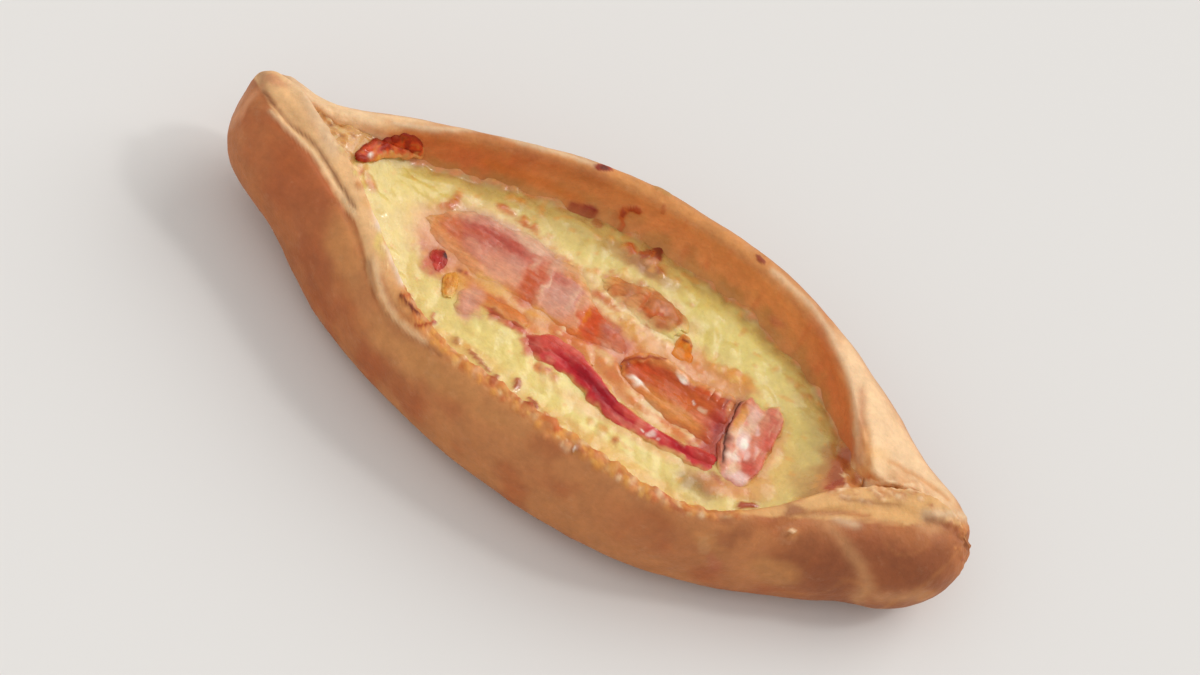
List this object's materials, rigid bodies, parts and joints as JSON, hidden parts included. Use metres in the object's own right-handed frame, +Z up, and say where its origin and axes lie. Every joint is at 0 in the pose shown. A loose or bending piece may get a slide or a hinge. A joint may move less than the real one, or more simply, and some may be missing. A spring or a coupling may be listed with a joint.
{
  "type": "peinirli",
  "caption": "Boat-shaped baked bread, pinched shut at both ends, its open trough filled with melted cheese under slices and bits of fried bacon.",
  "frame": {"origin": "on the table, under the middle of the boat's bounding box", "axes": "+X along the boat towards the lower, blunter nose, +Y towards the far rim, +Z up"},
  "size_m": [0.2499, 0.1111, 0.0422],
  "materials": {
    "baked_dough": "matt, baked tan crust with redder patches, floury top edges",
    "melted_cheese": "greasy, pale yellow, toasted orange at the rim",
    "bacon_pale": "greasy, pale pink with a lilac see-through part and a fat edge",
    "bacon_crisp": "glossy orange brown",
    "bacon_lean": "glossy deep red",
    "bacon_end": "glossy, red with a white band of fat and a charred edge",
    "bacon_greasy": "glossy, half melted, orange brown",
    "bacon_brown": "satin, browned pink",
    "bacon_toasted": "glossy, toasted orange",
    "bacon_fat": "glossy yellow fat",
    "bacon_charred": "glossy, caramelised dark red brown"
  },
  "bodies": {
    "root": {"dough_boat": "baked_dough", "cheese_filling": "melted_cheese", "bacon_wide_slice": "bacon_pale", "bacon_crisp_slice": "bacon_crisp", "bacon_lean_edge": "bacon_lean", "bacon_end_piece": "bacon_end", "bacon_melted_slice": "bacon_greasy", "bacon_back_curl": "bacon_brown", "bacon_crisp_flap": "bacon_toasted", "bacon_red_bit": "bacon_lean", "bacon_fat_bit": "bacon_fat", "bacon_corner_scrap": "bacon_charred"}
  },
  "joints": []
}
